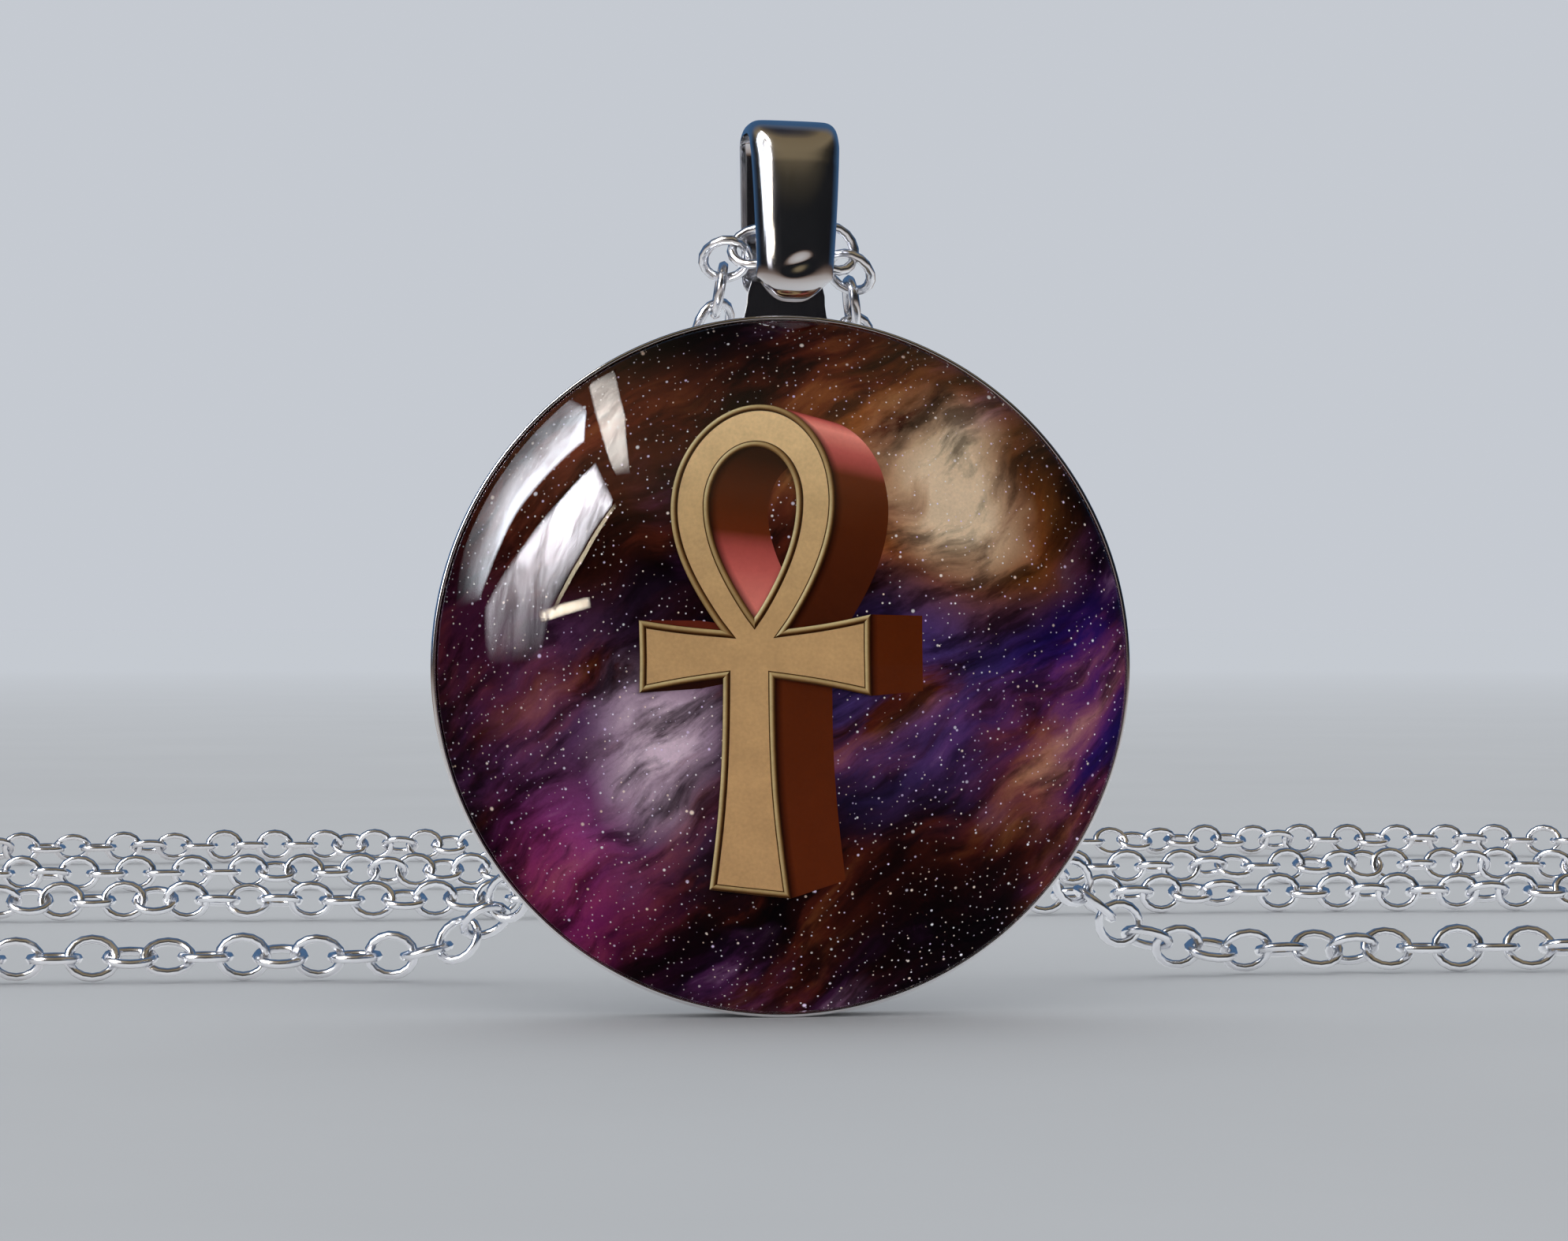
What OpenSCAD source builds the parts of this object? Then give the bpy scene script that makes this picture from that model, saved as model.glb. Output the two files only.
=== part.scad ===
// Round glass dome pendant in a thin tray with a tall bail, on a whole loop of fine cable chain.
// Millimetres, Z up. The pendant stands on its round edge, its face towards -Y, and the chain
// hangs down behind it and lies on the surface. The origin is the middle of the whole footprint.

/* [Glass] */
// Diameter of the clear domed glass
glass_d = 25.3; // [20:0.1:30]
// Straight height of the glass at its edge
glass_edge_h = 1; // [0.6:0.1:1.6]
// Rise of the dome above the straight edge
glass_rise = 5; // [3:0.25:6]

/* [Picture] */
// Thickness of the printed card under the glass
card_t = 0.3; // [0.2:0.05:0.6]
// Height of the raised ink of the printed sides
ink_side_t = 0.05; // [0.03:0.01:0.1]
// Height of the raised ink of the printed face
ink_face_t = 0.1; // [0.05:0.01:0.15]

/* [Printed ankh] */
// Distance of the ankh's axis to the left of the card's middle
ankh_shift = 1; // [0:0.01:1.5]
// Sideways lean of the axis for each millimetre of height
ankh_lean = -0.013; // [-0.03:0.001:0.03]
// How far the stem is set to the left of the arms
stem_shift = 0.19; // [0:0.01:0.4]
// Growth towards the right side for each millimetre, as the drawn ankh is turned
ankh_turn = 0.014; // [0:0.002:0.03]
// Height of the loop's top above the card's middle
loop_top = 8.88; // [8:0.05:9.4]
// Half of the loop's width
loop_half_w = 2.74; // [2.4:0.02:3]
// Width of the loop's band at its sides
loop_band = 1.295; // [1:0.005:1.6]
// Height of the hole's top above the card's middle
hole_top = 7.34; // [6.4:0.01:7.8]
// Height of the loop's widest place above the card's middle
loop_wide_h = 5.43; // [4.8:0.01:5.8]
// Height of the hole's lower tip above the card's middle
hole_tip = 1.59; // [1.3:0.01:2.2]
// Half of the width of the waist between the upper corners, where the loop meets the arms
waist_half_w = 1.1; // [0.8:0.01:1.3]
// Half of the width of the stem at its top
stem_top_half_w = 0.85; // [0.6:0.01:1.1]
// Height of the waist's upper corners above the card's middle
waist_top = 1.2; // [0.9:0.01:1.35]
// Depth of the waist's lower corners below the card's middle
waist_bottom = 0.39; // [0.1:0.01:0.6]
// Length of each arm from the axis
arm_l = 3.81; // [3.2:0.01:4.2]
// Height of an arm's upper end corner above the card's middle
arm_top = 1.61; // [1.3:0.01:1.9]
// Depth of an arm's lower end corner below the card's middle
arm_bottom = 0.91; // [0.6:0.01:1.2]
// Depth of the stem's foot below the card's middle
stem_bottom = 7.63; // [6.5:0.01:8.2]
// Half of the width of the stem's foot
stem_half_w = 1.37; // [1:0.01:1.6]
// Sideways shift of the drawn back outline
side_shift = 1.89; // [1.2:0.01:2.4]
// Width of the drawn back outline as a share of the front one
side_scale = 0.957; // [0.9:0.001:0.98]
// Height of the drawn back outline as a share of the front one
side_rise_scale = 0.928; // [0.88:0.002:0.96]

/* [Tray] */
// Thickness of the tray's wall round the glass
tray_wall = 0.15; // [0.15:0.05:0.6]
// Thickness of the tray's floor
tray_floor = 0.8; // [0.5:0.1:1.2]
// Clearance between the glass and the tray's wall
glass_gap = 0.05; // [0.03:0.01:0.15]
// Clearance between the layers under the glass
layer_gap = 0.02; // [0.01:0.01:0.05]
// Stretch of the glass's straight edge that stands out of the wall
edge_showing = 0.15; // [0:0.05:0.4]

/* [Bail] */
// How far the pendant stands turned on its round edge, in degrees
edge_turn = 1.6; // [0:0.1:3]
// Width of the bail at its top
bail_w = 3.3; // [3:0.1:4.4]
// Width of the bail at its foot
bail_foot_w = 2.8; // [2.2:0.1:3]
// Height of the bail's front leg
bail_h = 6.8; // [6:0.1:9]
// Height of the front leg's foot above the tray
bail_lift = 0.5; // [0.3:0.05:0.8]
// Distance of the bail's middle behind the tray's middle
bail_back_shift = 0.25; // [-0.2:0.05:0.5]
// Depth of the bail from front to back
bail_depth = 4.2; // [3.9:0.1:5]
// Thickness of the bail's front leg and top
bail_front_t = 0.75; // [0.5:0.05:0.8]
// Thickness of the bail's back leg
bail_back_t = 0.6; // [0.4:0.05:0.7]
// Radius of the front leg's corners, seen from the front
bail_corner_r = 0.6; // [0.3:0.05:0.9]
// Radius of the front leg's bulge, seen from above
bail_bulge_r = 4.5; // [3:0.1:8]
// Radius of the front leg's long curve, seen from the side
bail_bow_r = 16; // [12:1:40]
// Width of the neck under the bail
neck_w = 3; // [2:0.1:3.4]
// Height of the neck from the tray to the bail's hollow
neck_h = 1.3; // [1:0.1:1.8]

/* [Chain] */
// Diameter of the tube that the chain's links fill
chain_d = 2; // [1.8:0.1:2.2]

/* [Clasp] */
// Outer diameter of the clasp's ring
clasp_d = 5.6; // [5:0.1:7]
// Thickness of the clasp's ring
clasp_wire = 1.2; // [1:0.1:1.6]
// Outer diameter of the small eye on the clasp
eye_d = 2.4; // [2:0.1:3]
// Thickness of the small eye's wire
eye_wire = 0.6; // [0.4:0.05:0.8]

/* [Hidden] */

// Sizes that follow from the ones above
glass_r = glass_d / 2;
tray_inner_r = glass_r + glass_gap;
tray_r = tray_inner_r + tray_wall;
centre_z = tray_r;
tray_top = centre_z + tray_r;
card_back = tray_floor + layer_gap;
card_front = card_back + card_t;
side_front = card_front + ink_side_t;
face_front = side_front + ink_face_t;
glass_back = face_front + layer_gap;
tray_depth = glass_back + glass_edge_h - edge_showing;
dome_r = (glass_r * glass_r + glass_rise * glass_rise) / (2 * glass_rise);
card_r = glass_r - glass_gap;
hollow_floor = tray_top + neck_h;
bail_foot = tray_top + bail_lift;
bail_top = bail_foot + bail_h;
bail_mid_y = bail_back_shift - tray_depth / 2;
bail_front_y = bail_mid_y - bail_depth / 2;
bail_back_y = bail_mid_y + bail_depth / 2;
hollow_front_y = bail_front_y + bail_front_t;
hollow_back_y = bail_back_y - bail_back_t;
neck_root = tray_wall + glass_gap;
chain_r = chain_d / 2;
fine = 96;
small = 32;
eps = 0.01;

// The chain's route as places of its middle line: x and y from the foot of the pendant,
// z above the surface. The left half runs from the bail's middle to the clasp's eye, the
// right half from the bail's middle to the clasp's ring.
lay_z = chain_r;
end_gap = 0.3;
left_end_y = 79.3;
right_end_y = left_end_y + eye_d - eye_wire + clasp_d + 2 * end_gap;
route_left = [
    [0, -0.8, 28.25], [-1.4, -0.7, 28.35], [-2.2, 0, 27.9], [-2.5, 1.2, 26.5],
    [-3.1, 2.8, 23], [-4.3, 4.4, 18], [-5.6, 6.6, 13], [-7, 8.8, 8.5], [-8.8, 11, 4.6],
    [-11.4, 13, 1.8], [-15, 14.4, lay_z], [-22, 15, lay_z], [-32, 14.6, lay_z],
    [-42, 16.2, lay_z], [-50, 22, lay_z], [-53, 31.5, lay_z], [-50, 41, lay_z],
    [-42, 47, lay_z], [-30, 48.6, lay_z], [-15, 47.8, lay_z], [0, 48.8, lay_z],
    [15, 48, lay_z], [30, 48.8, lay_z], [44, 48.2, lay_z], [53, 51.6, lay_z],
    [56.8, 59.5, lay_z], [53, 67.4, lay_z], [44, 70.6, lay_z], [30, 69.8, lay_z],
    [15, 70.8, lay_z], [0, 70, lay_z], [-15, 70.9, lay_z], [-28, 70, lay_z],
    [-38, 71, lay_z], [-45, 74.2, lay_z], [-47.7, 77.4, lay_z], [-47.9, left_end_y, lay_z]
];
route_right = [
    [0, -0.8, 28.25], [1.8, -0.8, 28.3], [2.75, -0.1, 27.85], [3.1, 1.2, 26.5],
    [3.7, 3, 22.5], [5.2, 4.8, 17], [7.4, 7, 11.8], [10, 9.2, 7.6], [12.9, 11.2, 4.2],
    [16, 12.8, 1.8], [20, 13.8, lay_z], [30, 14.2, lay_z], [42, 13.6, lay_z],
    [56, 15.6, lay_z], [70, 25, lay_z], [79.4, 39, lay_z], [82.4, 55, lay_z],
    [79.4, 71, lay_z], [70, 85, lay_z], [56, 94, lay_z], [41, 96.2, lay_z],
    [26, 95.2, lay_z], [11, 96.4, lay_z], [-4, 95.4, lay_z], [-18, 96.2, lay_z],
    [-31, 95.2, lay_z], [-41, right_end_y + 5.5, lay_z], [-46.6, right_end_y + 2.5, lay_z],
    [-47.9, right_end_y, lay_z]
];
// The clasp lies between the two ends, its eye towards the left half
clasp_x = route_left[len(route_left) - 1].x;
clasp_y = right_end_y - end_gap - clasp_d / 2;

// The whole footprint, from the route and the pendant
all_x = [for (p = concat(route_left, route_right)) p.x];
all_y = [for (p = concat(route_left, route_right)) p.y];
front_y = -max(glass_back + glass_edge_h + glass_rise, -bail_front_y);
footprint_x = (min(all_x) + max(all_x)) / 2;
footprint_y = (front_y + max(all_y) + chain_r) / 2;

module placed() {
    translate([-footprint_x, -footprint_y, 0])
        children();
}

// Turns a shape drawn in X and Y and raised along Z into one that faces -Y on the pendant,
// lying from one depth behind the front to another
module on_pendant(depth) {
    translate([0, -depth, centre_z])
        rotate([90, 0, 0])
            children();
}

// Outline of the printed ankh, as one half from the top down, mirrored
curve_steps = 9;
loop_power = 0.93;
function blend_curve(low, high, share) = low + (high - low) * pow(sin(90 * share), loop_power);
function arch(half_w, wide_h, top) = [
    for (i = [0 : curve_steps])
        let (a = 90 * i / curve_steps)
            [half_w * sin(a), wide_h + (top - wide_h) * cos(a)]
];
function taper(half_w, wide_h, low_w, low_h) = [
    for (i = [1 : curve_steps])
        let (share = 1 - i / curve_steps)
            [blend_curve(low_w, half_w, share), low_h + (wide_h - low_h) * share]
];
// A shallow inward curve from one corner to the next
flare_steps = 4;
function flare(from, to, bend) = [
    for (i = [1 : flare_steps])
        let (share = i / flare_steps)
            from + (to - from) * share + bend * sin(180 * share)
];
arm_bend = 0.04;
stem_bend = 0.15;
end_bend = 0.02;
outer_half = concat(
    arch(loop_half_w, loop_wide_h, loop_top),
    taper(loop_half_w, loop_wide_h, waist_half_w, waist_top),
    flare([waist_half_w, waist_top], [arm_l, arm_top], [0, -arm_bend]),
    flare([arm_l, arm_top], [arm_l, -arm_bottom], [-end_bend, 0]),
    flare([arm_l, -arm_bottom], [stem_top_half_w, -waist_bottom], [0, arm_bend]),
    flare([stem_top_half_w, -waist_bottom], [stem_half_w, -stem_bottom], [-stem_bend, 0])
);
hole_half = concat(
    arch(loop_half_w - loop_band, loop_wide_h, hole_top),
    taper(loop_half_w - loop_band, loop_wide_h, 0, hole_tip)
);
function mirrored(half) = concat(
    half,
    [for (i = [len(half) - 1 : -1 : 0]) if (half[i].x > eps) [-half[i].x, half[i].y]]
);
function leaned(x, y) = y > 0 ?
    ankh_lean * y
    : -stem_shift * min(1, (arm_l - abs(x)) / (arm_l - stem_top_half_w));
function drawn(points) = [
    for (p = points)
        let (y = p.y * (1 + ankh_turn * p.x))
            [p.x - ankh_shift + leaned(p.x, y), y]
];
side_level = 1.19;
function pushed_back(points) = [
    for (p = points)
        [side_shift + (p.x + ankh_shift) * side_scale - ankh_shift,
         side_level + (p.y - side_level) * side_rise_scale]
];
ankh_outer = drawn(mirrored(outer_half));
ankh_hole = drawn(mirrored(hole_half));

module swept_edges(points) {
    back = pushed_back(points);
    count = len(points);
    for (i = [0 : count - 1])
        polygon([points[i], points[(i + 1) % count], back[(i + 1) % count], back[i]]);
}

module ankh_outline() {
    difference() {
        polygon(ankh_outer);
        polygon(ankh_hole);
    }
}

// The dark ground of the ankh: its face and its sides as one shape
module ankh_sides() {
    color("#5a2410")
        placed()
            on_pendant(card_front)
                linear_extrude(ink_side_t)
                    offset(delta = eps) {
                        swept_edges(ankh_outer);
                        swept_edges(ankh_hole);
                        ankh_outline();
                        difference() {
                            polygon(pushed_back(ankh_outer));
                            polygon(pushed_back(ankh_hole));
                        }
                    }
}

module ankh_face() {
    color("#b3925f")
        placed()
            on_pendant(side_front)
                linear_extrude(ink_face_t)
                    ankh_outline();
}

module picture_card() {
    color("#4a1c2c")
        placed()
            on_pendant(card_back)
                cylinder(h = card_t, r = card_r, $fn = fine);
}

module glass_dome() {
    color("#dfe8ee", 0.35)
        placed()
            on_pendant(glass_back)
                intersection() {
                    cylinder(h = glass_edge_h + glass_rise, r = glass_r, $fn = fine);
                    translate([0, 0, glass_edge_h + glass_rise - dome_r])
                        sphere(r = dome_r, $fn = fine);
                }
}

// A rectangle with four round corners, its lower left corner at the origin
module rounded_box(w, h, r) {
    translate([r, 0])
        square([w - 2 * r, h]);
    translate([0, r])
        square([w, h - 2 * r]);
    for (x = [r, w - r], y = [r, h - r])
        translate([x, y])
            circle(r = r, $fn = fine);
}

// Side view of the bail: a tall ring with an open middle, its front leg bowed
bail_outer_r = 1.3;
bail_inner_r = 0.7;
module bow(thickness) {
    translate([bail_front_y + bail_bow_r, bail_outer_r])
        circle(r = bail_bow_r - thickness, $fn = 4 * fine);
}
module bail_ring() {
    translate([0, 0, bail_foot])
        rotate([90, 0, 90])
            linear_extrude(bail_w, center = true)
                difference() {
                    intersection() {
                        translate([bail_front_y, 0])
                            rounded_box(bail_depth, bail_h, bail_outer_r);
                        bow(0);
                    }
                    intersection() {
                        translate([hollow_front_y, hollow_floor - bail_foot])
                            rounded_box(hollow_back_y - hollow_front_y,
                                        bail_top - bail_front_t - hollow_floor, bail_inner_r);
                        bow(bail_front_t);
                    }
                }
}

// Front view of the bail: wider at the top, with round corners
foot_r = 1;
module bail_outline() {
    r = bail_corner_r;
    top_x = bail_w / 2 - r;
    foot_x = bail_foot_w / 2 - foot_r;
    rotate([90, 0, 0])
        linear_extrude(2 * bail_depth, center = true)
            hull() {
                for (s = [-1, 1]) {
                    translate([s * top_x, bail_top - r])
                        circle(r = r, $fn = small);
                    translate([s * foot_x, bail_foot + foot_r])
                        circle(r = foot_r, $fn = small);
                }
            }
}

// Turns the bail about the tray's middle, as the pendant leans on its round edge
module turned_on_edge() {
    translate([0, 0, centre_z])
        rotate([0, edge_turn, 0])
            translate([0, 0, -centre_z])
                children();
}

module setting() {
    color("#9a9ca0")
        placed()
            difference() {
                union() {
                    on_pendant(0)
                        cylinder(h = tray_depth, r = tray_r, $fn = fine);
                    turned_on_edge() {
                        translate([-neck_w / 2, -tray_depth, tray_top - neck_root])
                            cube([neck_w, tray_depth, neck_h + neck_root - eps]);
                        intersection() {
                            bail_ring();
                            bail_outline();
                            translate([0, bail_front_y + bail_bulge_r, tray_top])
                                cylinder(h = 2 * bail_h, r = bail_bulge_r, $fn = fine);
                        }
                    }
                }
                on_pendant(tray_floor)
                    cylinder(h = tray_depth, r = tray_inner_r, $fn = fine);
            }
}

// Sweeps a ring of corners along places that a smooth curve runs through
chain_sides = 8;
function smooth_point(p, i, share) =
    let (last = len(p) - 1,
         before = p[max(i - 1, 0)],
         here = p[i],
         next = p[min(i + 1, last)],
         after = p[min(i + 2, last)])
        here + share * (next - before) / 2
            + share * share * (before - 2.5 * here + 2 * next - after / 2)
            + share * share * share * (3 * here - before - 3 * next + after) / 2;
function unit(v) = v / norm(v);
// How far the route turns at a place, in degrees
function turn_at(p, i) =
    i < 1 || i > len(p) - 2 ? 0 : acos(min(1, unit(p[i] - p[i - 1]) * unit(p[i + 1] - p[i])));
straight_turn = 13;
// The places and, where the route bends, the middles between them, none lower than the lying chain
function above_surface(p) = [p.x, p.y, max(p.z, lay_z)];
function smooth_route(p) = concat(
    [
        for (i = [0 : len(p) - 2])
            each turn_at(p, i) + turn_at(p, i + 1) < 2 * straight_turn
                ? [p[i]]
                : [p[i], above_surface(smooth_point(p, i, 0.5))]
    ],
    [p[len(p) - 1]]
);
function heading(line, i) =
    i == 0 ? [line[1].x < line[0].x ? -1 : 1, 0, 0]
        : unit(line[min(i + 1, len(line) - 1)] - line[i - 1]);
function side_axis(along) =
    let (flat = norm([along.x, along.y]))
        [-along.y / flat, along.x / flat, 0];
function tube_ring(line, i, r) =
    let (along = heading(line, i),
         side = side_axis(along),
         up = cross(along, side))
        [for (k = [0 : chain_sides - 1])
            let (a = 360 * (k + 0.5) / chain_sides,
                 corner_r = r / cos(180 / chain_sides))
                line[i] + corner_r * (cos(a) * side + sin(a) * up)];

module tube(route, r) {
    line = smooth_route(route);
    count = len(line);
    n = chain_sides;
    points = [for (i = [0 : count - 1]) each tube_ring(line, i, r)];
    walls = [
        for (i = [0 : count - 2], k = [0 : n - 1])
            [i * n + k, i * n + (k + 1) % n, (i + 1) * n + (k + 1) % n, (i + 1) * n + k]
    ];
    start_cap = [[for (k = [n - 1 : -1 : 0]) k]];
    end_cap = [[for (k = [0 : n - 1]) (count - 1) * n + k]];
    polyhedron(points, concat(walls, start_cap, end_cap), convexity = 10);
}

module chain_left() {
    color("#c6c8cc")
        placed()
            tube(route_left, chain_r);
}

module chain_right() {
    color("#a2a4a8")
        placed()
            tube(route_right, chain_r);
}

module wire_ring(outer_d, wire) {
    rotate_extrude($fn = fine)
        translate([(outer_d - wire) / 2, 0])
            circle(d = wire, $fn = small);
}

module clasp() {
    color("#b4b6ba")
        placed()
            translate([clasp_x, clasp_y, lay_z])
                union() {
                    wire_ring(clasp_d, clasp_wire);
                    translate([0, -(clasp_d + eye_d) / 2 + eye_wire, 0])
                        wire_ring(eye_d, eye_wire);
                }
}

setting();
picture_card();
ankh_sides();
ankh_face();
glass_dome();
chain_left();
chain_right();
clasp();
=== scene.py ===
# Looks of the ankh dome pendant: polished tray and bail, clear glass over a printed card,
# a cable chain in loose rows behind it, soft window light from the left.
import math

import bmesh
import bpy
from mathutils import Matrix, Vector
from mathutils.geometry import tessellate_polygon


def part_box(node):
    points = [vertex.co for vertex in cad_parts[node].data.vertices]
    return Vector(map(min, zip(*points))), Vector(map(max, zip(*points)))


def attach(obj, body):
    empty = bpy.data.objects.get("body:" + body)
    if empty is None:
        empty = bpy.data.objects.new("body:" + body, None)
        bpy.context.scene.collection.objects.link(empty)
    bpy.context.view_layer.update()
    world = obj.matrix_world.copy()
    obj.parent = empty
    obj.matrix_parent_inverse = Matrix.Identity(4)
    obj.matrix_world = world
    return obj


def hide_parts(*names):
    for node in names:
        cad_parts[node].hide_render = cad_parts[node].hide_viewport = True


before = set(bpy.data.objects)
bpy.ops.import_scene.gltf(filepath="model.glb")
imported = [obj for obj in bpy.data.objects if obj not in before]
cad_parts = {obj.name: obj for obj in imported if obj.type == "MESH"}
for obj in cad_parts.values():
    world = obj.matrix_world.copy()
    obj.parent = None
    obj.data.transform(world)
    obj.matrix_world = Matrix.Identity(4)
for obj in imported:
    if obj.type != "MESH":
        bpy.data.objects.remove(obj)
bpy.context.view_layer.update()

MM = 0.001
ON_AXIS = 1e-6
ROUND_STEPS = 192

# Every place below is in millimetres from the foot of the tray's back face,
# with the face of the pendant towards -Y
CARD_BACK = 0.82
CENTRE_Z = 12.85
card_low, card_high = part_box("picture_card")
foot_x = (card_low.x + card_high.x) / 2
foot_y = card_high.y + CARD_BACK * MM


def at(x, y, z):
    """A place on the pendant, in metres in the shared frame."""
    return Vector((foot_x + x * MM, foot_y + y * MM, z * MM))


# Small helpers for shapes


def new_object(name, data):
    piece = bpy.data.objects.new(name, data)
    bpy.context.scene.collection.objects.link(piece)
    return piece


def face_outwards(mesh):
    shape = bmesh.new()
    shape.from_mesh(mesh)
    bmesh.ops.recalc_face_normals(shape, faces=shape.faces)
    shape.to_mesh(mesh)
    shape.free()


def new_piece(name, corners, faces, rounded=True):
    """A mesh object with its place in its mesh. A rounded one is smooth and faces outwards."""
    mesh = bpy.data.meshes.new(name)
    mesh.from_pydata([tuple(c) for c in corners], [], faces)
    mesh.validate()
    piece = new_object(name, mesh)
    if rounded:
        mesh.shade_smooth()
        face_outwards(mesh)
    return piece


def eased_corners(points, reaches, steps=5):
    """An open line with its corners eased into curves that start a reach before each corner."""
    line = []
    for i, point in enumerate(points):
        reach = reaches[i]
        if reach == 0:
            line.append(Vector(point))
            continue
        corner = Vector(point)
        start = corner + (Vector(points[i - 1]) - corner).normalized() * reach
        end = corner + (Vector(points[i + 1]) - corner).normalized() * reach
        for k in range(steps + 1):
            t = k / steps
            line.append(start * (1 - t) ** 2 + corner * (2 * t * (1 - t)) + end * t * t)
    return line


def bands(rings, around, closed=False):
    """Faces between rings of corners that are listed ring after ring, and back to the first when closed."""
    faces = []
    for i in range(rings if closed else rings - 1):
        n = (i + 1) % rings
        for k in range(around):
            m = (k + 1) % around
            faces.append((i * around + k, i * around + m, n * around + m, n * around + k))
    return faces


def turned_round(name, line):
    """Turns a line of (radius, depth) pairs, from the axis to the axis, round the pendant's middle."""
    corners, rings, faces = [], [], []
    for radius, depth in line:
        if radius < ON_AXIS:
            rings.append([len(corners)])
            corners.append(at(0, -depth, CENTRE_Z))
            continue
        rings.append([len(corners) + k for k in range(ROUND_STEPS)])
        for k in range(ROUND_STEPS):
            a = 2 * math.pi * k / ROUND_STEPS
            corners.append(at(radius * math.cos(a), -depth, CENTRE_Z + radius * math.sin(a)))
    for low, high in zip(rings, rings[1:]):
        for k in range(ROUND_STEPS):
            n = (k + 1) % ROUND_STEPS
            if len(low) == 1:
                faces.append((low[0], high[k], high[n]))
            elif len(high) == 1:
                faces.append((low[k], low[n], high[0]))
            else:
                faces.append((low[k], low[n], high[n], high[k]))
    return new_piece(name, corners, faces)


# Small helpers for materials

FLOAT = "NodeSocketFloat"
FINE_RELIEF, GLASS_RIPPLE = 0.00001, 0.000004
SCRATCH_TURN, SCRATCH_STRETCH, SCRATCH_ROUGHNESS = (0.3, 0.5, 0.7), (9.0, 9.0, 0.7), 0.06
PATCH_WEIGHT, DULL_SHARE = 1.3, 0.82


def new_material(name):
    material = bpy.data.materials.new(name)
    material.use_nodes = True
    tree = material.node_tree
    return material, tree, tree.nodes["Principled BSDF"]


def put(tree, kind, inputs=None, **settings):
    """Adds a node with its own settings, such as its operation, and its inputs."""
    node = tree.nodes.new(kind)
    for key, value in settings.items():
        setattr(node, key, value)
    fill(tree, node, inputs or {})
    return node


def fill(tree, node, inputs):
    """Gives a node's inputs their values, or wires them to a socket or to a node's first output."""
    for name, value in inputs.items():
        if isinstance(value, bpy.types.Node):
            value = value.outputs[0]
        if isinstance(value, bpy.types.NodeSocket):
            tree.links.new(value, node.inputs[name])
        else:
            node.inputs[name].default_value = value


def math_node(tree, operation, a, b=0.0, c=None, clamp=False):
    inputs = {0: a, 1: b} if c is None else {0: a, 1: b, 2: c}
    return put(tree, "ShaderNodeMath", inputs, operation=operation, use_clamp=clamp).outputs[0]


def times(tree, a, b, clamp=False):
    return math_node(tree, "MULTIPLY", a, b, clamp=clamp)


def minus(tree, a, b, clamp=False):
    return math_node(tree, "SUBTRACT", a, b, clamp=clamp)


def mixed(tree, share, a, b, blend="MIX"):
    return put(tree, "ShaderNodeMix", {0: share, 6: a, 7: b}, data_type="RGBA", blend_type=blend).outputs[2]


def colour(hexcode):
    """A colour as it is seen, turned into the linear value that the shader takes."""
    parts = [int(hexcode[i:i + 2], 16) / 255 for i in (0, 2, 4)]
    return [p / 12.92 if p <= 0.04045 else ((p + 0.055) / 1.055) ** 2.4 for p in parts] + [1.0]


def grey(value):
    return [value, value, value, 1.0]


def shade_of(shade):
    """Four numbers for a colour that is given as a hex code, as a grey value or as they are."""
    if isinstance(shade, str):
        return colour(shade)
    return grey(shade) if isinstance(shade, float) else shade


def ramp(tree, value, stops):
    """Colours at places from 0 to 1, blended between them."""
    node = put(tree, "ShaderNodeValToRGB", {"Fac": value})
    marks = node.color_ramp.elements
    while len(marks) > 1:
        marks.remove(marks[-1])
    marks[0].position, marks[0].color = stops[0][0], shade_of(stops[0][1])
    for place, shade in stops[1:]:
        marks.new(place).color = shade_of(shade)
    return node.outputs["Color"]


def pendant_places(tree):
    """Object coordinates in millimetres from the middle of the card."""
    scale = 1 / MM
    return mapped(tree, put(tree, "ShaderNodeTexCoord").outputs["Object"], {
        "Location": (-foot_x * scale, -foot_y * scale, -CENTRE_Z), "Scale": (scale, scale, scale)})


def mapped(tree, places, inputs):
    """Places that are shifted, turned or drawn out."""
    return put(tree, "ShaderNodeMapping", {"Vector": places, **inputs}).outputs["Vector"]


def noise_value(tree, places, scale, detail=3.0, roughness=0.55, shift=(0, 0, 0), distortion=0.0):
    if any(shift):
        places = mapped(tree, places, {"Location": shift})
    return put(tree, "ShaderNodeTexNoise", {
        "Vector": places, "Scale": scale, "Detail": detail, "Roughness": roughness,
        "Distortion": distortion}).outputs["Fac"]


def raise_surface(tree, surface, height, strength, distance=FINE_RELIEF):
    """Lets a height that changes over the surface show in its shading."""
    bump = put(tree, "ShaderNodeBump", {"Strength": strength, "Distance": distance, "Height": height})
    fill(tree, surface, {"Normal": bump})


def new_group(name, inputs, outputs, kind="ShaderNodeTree"):
    """A node group with its named inputs and outputs."""
    group = bpy.data.node_groups.new(name, kind)
    for label, socket_type, value in inputs:
        socket = group.interface.new_socket(label, in_out="INPUT", socket_type=socket_type)
        if value is not None:
            socket.default_value = value
    for label, socket_type in outputs:
        group.interface.new_socket(label, in_out="OUTPUT", socket_type=socket_type)
    return group, group.nodes.new("NodeGroupInput"), group.nodes.new("NodeGroupOutput")


def use_group(tree, group, **values):
    """Places a shared group, with each input's name written with underscores."""
    inputs = {label.replace("_", " "): value for label, value in values.items()}
    node = tree.nodes.new("ShaderNodeGroup")
    node.node_tree = group
    fill(tree, node, inputs)
    return node


# Effects that several finishes share


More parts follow.
